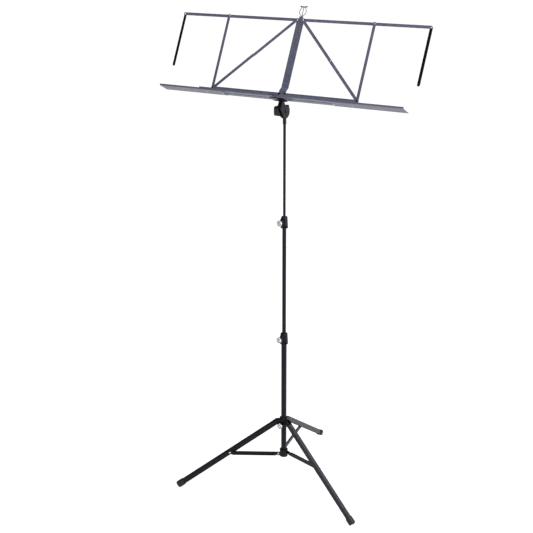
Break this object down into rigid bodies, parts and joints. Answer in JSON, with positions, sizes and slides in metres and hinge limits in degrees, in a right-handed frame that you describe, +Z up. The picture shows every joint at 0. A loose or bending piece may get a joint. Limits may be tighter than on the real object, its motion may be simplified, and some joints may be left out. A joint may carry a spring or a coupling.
{
  "type": "folding music stand",
  "caption": "Folding music stand: tripod with sliding leg hub, telescoping tube, tilting bar desk with folding ledge and sliding extensions.",
  "frame": {"origin": "on the floor under the tube's axis", "axes": "+Z up along the tube, -Y towards the player, +X to the player's right along the desk"},
  "size_m": [0.8084, 0.5663, 1.4832],
  "materials": {
    "black_paint": "satin black powder coat",
    "satin_paint": "satin black paint with a cool sheen",
    "nickel": "dull nickel plate",
    "yellow_zinc": "yellow passivated steel",
    "knob_plastic": "moulded black",
    "guide_plastic": "natural moulded plastic",
    "foot_rubber": "moulded black rubber"
  },
  "bodies": {
    "base": {"lower_tube": "black_paint", "tube_plug": "knob_plastic", "strut_hub": "black_paint", "strut_hub_rivets": "yellow_zinc", "lower_clamp": "black_paint", "lower_liner": "guide_plastic"},
    "leg_hub": {"leg_hub": "black_paint", "leg_hub_rivets": "nickel"},
    "hub_thumbscrew": {"hub_thumbscrew": "nickel"},
    "lower_thumbscrew": {"lower_thumbscrew": "nickel"},
    "upper_thumbscrew": {"upper_thumbscrew": "nickel"},
    "lower_guide": {"lower_guide": "guide_plastic"},
    "middle_tube": {"middle_tube": "black_paint", "upper_clamp": "black_paint", "upper_liner": "guide_plastic"},
    "upper_guide": {"upper_guide": "guide_plastic"},
    "upper_tube": {"upper_tube": "black_paint", "tilt_head": "black_paint"},
    "desk": {"desk_bracket": "black_paint", "central_bar": "satin_paint", "desk_rivets": "nickel", "clip_wires": "black_paint", "clip_bar": "black_paint", "tilt_bolt": "black_paint"},
    "tilt_knob": {"tilt_knob": "knob_plastic", "knob_insert": "yellow_zinc"},
    "leg_1": {"leg_1": "black_paint", "foot_cap_1": "foot_rubber"},
    "strut_1": {"strut_1": "black_paint", "strut_rivet_1": "yellow_zinc"},
    "leg_2": {"leg_2": "black_paint", "foot_cap_2": "foot_rubber"},
    "strut_2": {"strut_2": "black_paint", "strut_rivet_2": "yellow_zinc"},
    "leg_3": {"leg_3": "black_paint", "foot_cap_3": "foot_rubber"},
    "strut_3": {"strut_3": "black_paint", "strut_rivet_3": "yellow_zinc"},
    "ledge_left": {"ledge_left": "satin_paint", "ledge_rivet_left": "black_paint"},
    "extension_left": {"extension_left": "satin_paint", "extension_studs_left": "nickel"},
    "top_bar_left": {"top_bar_left": "satin_paint", "bar_rivets_left": "nickel"},
    "upright_left": {"upright_left": "satin_paint"},
    "upper_brace_left": {"upper_brace_left": "satin_paint"},
    "lower_brace_left": {"lower_brace_left": "satin_paint", "knee_rivet_left": "nickel"},
    "arm_left": {"arm_left": "black_paint"},
    "ledge_right": {"ledge_right": "satin_paint", "ledge_rivet_right": "black_paint"},
    "extension_right": {"extension_right": "satin_paint", "extension_studs_right": "nickel"},
    "top_bar_right": {"top_bar_right": "satin_paint", "bar_rivets_right": "nickel"},
    "upright_right": {"upright_right": "satin_paint"},
    "upper_brace_right": {"upper_brace_right": "satin_paint"},
    "lower_brace_right": {"lower_brace_right": "satin_paint", "knee_rivet_right": "nickel"},
    "arm_right": {"arm_right": "black_paint"}
  },
  "joints": [
    {"name": "leg_hub_slide", "type": "slide", "parent": "base", "child": "leg_hub", "axis": [0, 0, 1], "range_m": [0, 0.22701]},
    {"name": "leg_1_fold", "type": "hinge", "parent": "leg_hub", "child": "leg_1", "pos_m": [-0.01738, -0.01348, 0.214], "axis": [0.6129, -0.7902, 0], "range_deg": [0, 57.01]},
    {"name": "strut_1_fold", "type": "hinge", "parent": "base", "child": "strut_1", "pos_m": [-0.01501, -0.01165, 0.101], "axis": [-0.6129, 0.7902, 0], "range_deg": [0, 84.05]},
    {"name": "leg_2_fold", "type": "hinge", "parent": "leg_hub", "child": "leg_2", "pos_m": [0.02037, -0.00831, 0.214], "axis": [0.3778, 0.9259, 0], "range_deg": [0, 57.01]},
    {"name": "strut_2_fold", "type": "hinge", "parent": "base", "child": "strut_2", "pos_m": [0.01759, -0.00718, 0.101], "axis": [-0.3778, -0.9259, 0], "range_deg": [0, 84.05]},
    {"name": "leg_3_fold", "type": "hinge", "parent": "leg_hub", "child": "leg_3", "pos_m": [-0.00299, 0.0218, 0.214], "axis": [-0.9907, -0.1357, 0], "range_deg": [0, 57.01]},
    {"name": "strut_3_fold", "type": "hinge", "parent": "base", "child": "strut_3", "pos_m": [-0.00258, 0.01882, 0.101], "axis": [0.9907, 0.1357, 0], "range_deg": [0, 84.05]},
    {"name": "hub_thumbscrew_turn", "type": "hinge", "parent": "leg_hub", "child": "hub_thumbscrew", "pos_m": [0, 0, 0.206], "axis": [0.0349, -0.9994, 0], "range_deg": [0, 360]},
    {"name": "lower_thumbscrew_turn", "type": "hinge", "parent": "base", "child": "lower_thumbscrew", "pos_m": [0, 0, 0.5], "axis": [-0.1392, -0.9903, 0], "range_deg": [0, 360]},
    {"name": "upper_thumbscrew_turn", "type": "hinge", "parent": "middle_tube", "child": "upper_thumbscrew", "pos_m": [0, 0, 0.873], "axis": [-0.1392, -0.9903, 0], "range_deg": [0, 360]},
    {"name": "lower_slide", "type": "slide", "parent": "base", "child": "lower_guide", "axis": [0, 0, -1], "range_m": [0, 0.325]},
    {"name": "lower_swivel", "type": "hinge", "parent": "lower_guide", "child": "middle_tube", "pos_m": [0, 0, 0.44], "axis": [0, 0, 1], "continuous": true},
    {"name": "upper_slide", "type": "slide", "parent": "middle_tube", "child": "upper_guide", "axis": [0, 0, -1], "range_m": [0, 0.274]},
    {"name": "upper_swivel", "type": "hinge", "parent": "upper_guide", "child": "upper_tube", "pos_m": [0, 0, 0.815], "axis": [0, 0, 1], "continuous": true},
    {"name": "desk_tilt", "type": "hinge", "parent": "upper_tube", "child": "desk", "pos_m": [0, 0, 1.2], "axis": [-1, 0, 0], "range_deg": [-26, 60]},
    {"name": "tilt_knob_turn", "type": "hinge", "parent": "desk", "child": "tilt_knob", "pos_m": [-0.02, 0, 1.2], "axis": [-1, 0, 0], "continuous": true},
    {"name": "ledge_left_fold", "type": "hinge", "parent": "desk", "child": "ledge_left", "pos_m": [-0.0088, -0.01584, 1.25112], "axis": [0, 0.8988, -0.4384], "range_deg": [0, 90]},
    {"name": "extension_left_slide", "type": "slide", "parent": "ledge_left", "child": "extension_left", "axis": [1, 0, 0], "range_m": [0, 0.145]},
    {"name": "top_bar_left_fold", "type": "hinge", "parent": "desk", "child": "top_bar_left", "pos_m": [-0.0088, 0.08734, 1.44557], "axis": [0, 0.8988, -0.4384], "range_deg": [0, 90.01]},
    {"name": "upright_left_fold", "type": "hinge", "parent": "ledge_left", "child": "upright_left", "pos_m": [-0.2368, -0.01463, 1.25053], "axis": [0, -0.8988, 0.4384], "range_deg": [0, 90.01]},
    {"name": "upper_brace_left_fold", "type": "hinge", "parent": "desk", "child": "upper_brace_left", "pos_m": [-0.0088, 0.08559, 1.44642], "axis": [0, 0.8988, -0.4384], "range_deg": [0, 133.99]},
    {"name": "lower_brace_left_fold", "type": "hinge", "parent": "ledge_left", "child": "lower_brace_left", "pos_m": [-0.2368, -0.01274, 1.24961], "axis": [0, -0.8988, 0.4384], "range_deg": [0, 136.03]},
    {"name": "arm_left_turn", "type": "hinge", "parent": "top_bar_left", "child": "arm_left", "pos_m": [-0.4, 0.08936, 1.44458], "axis": [0, -0.8988, 0.4384], "range_deg": [-90, 90]},
    {"name": "ledge_right_fold", "type": "hinge", "parent": "desk", "child": "ledge_right", "pos_m": [0.0088, -0.01584, 1.25112], "axis": [0, -0.8988, 0.4384], "range_deg": [0, 90]},
    {"name": "extension_right_slide", "type": "slide", "parent": "ledge_right", "child": "extension_right", "axis": [-1, 0, 0], "range_m": [0, 0.145]},
    {"name": "top_bar_right_fold", "type": "hinge", "parent": "desk", "child": "top_bar_right", "pos_m": [0.0088, 0.08734, 1.44557], "axis": [0, -0.8988, 0.4384], "range_deg": [0, 90.01]},
    {"name": "upright_right_fold", "type": "hinge", "parent": "ledge_right", "child": "upright_right", "pos_m": [0.2368, -0.01463, 1.25053], "axis": [0, 0.8988, -0.4384], "range_deg": [0, 90.01]},
    {"name": "upper_brace_right_fold", "type": "hinge", "parent": "desk", "child": "upper_brace_right", "pos_m": [0.0088, 0.08559, 1.44642], "axis": [0, -0.8988, 0.4384], "range_deg": [0, 133.99]},
    {"name": "lower_brace_right_fold", "type": "hinge", "parent": "ledge_right", "child": "lower_brace_right", "pos_m": [0.2368, -0.01274, 1.24961], "axis": [0, 0.8988, -0.4384], "range_deg": [0, 136.03]},
    {"name": "arm_right_turn", "type": "hinge", "parent": "top_bar_right", "child": "arm_right", "pos_m": [0.4, 0.08936, 1.44458], "axis": [0, 0.8988, -0.4384], "range_deg": [-90, 90]}
  ],
  "couplings": [
    {"joint": "leg_1_fold", "follows": "leg_hub_slide", "rad_per_m": 4.3823},
    {"joint": "strut_1_fold", "follows": "leg_hub_slide", "rad_per_m": 6.461},
    {"joint": "leg_2_fold", "follows": "leg_hub_slide", "rad_per_m": 4.3823},
    {"joint": "strut_2_fold", "follows": "leg_hub_slide", "rad_per_m": 6.461},
    {"joint": "leg_3_fold", "follows": "leg_hub_slide", "rad_per_m": 4.3823},
    {"joint": "strut_3_fold", "follows": "leg_hub_slide", "rad_per_m": 6.461},
    {"joint": "top_bar_left_fold", "follows": "ledge_left_fold", "ratio": 1},
    {"joint": "upright_left_fold", "follows": "ledge_left_fold", "ratio": 1},
    {"joint": "upper_brace_left_fold", "follows": "ledge_left_fold", "ratio": 1.4886},
    {"joint": "lower_brace_left_fold", "follows": "ledge_left_fold", "ratio": 1.5114},
    {"joint": "top_bar_right_fold", "follows": "ledge_right_fold", "ratio": 1},
    {"joint": "upright_right_fold", "follows": "ledge_right_fold", "ratio": 1},
    {"joint": "upper_brace_right_fold", "follows": "ledge_right_fold", "ratio": 1.4886},
    {"joint": "lower_brace_right_fold", "follows": "ledge_right_fold", "ratio": 1.5114}
  ]
}
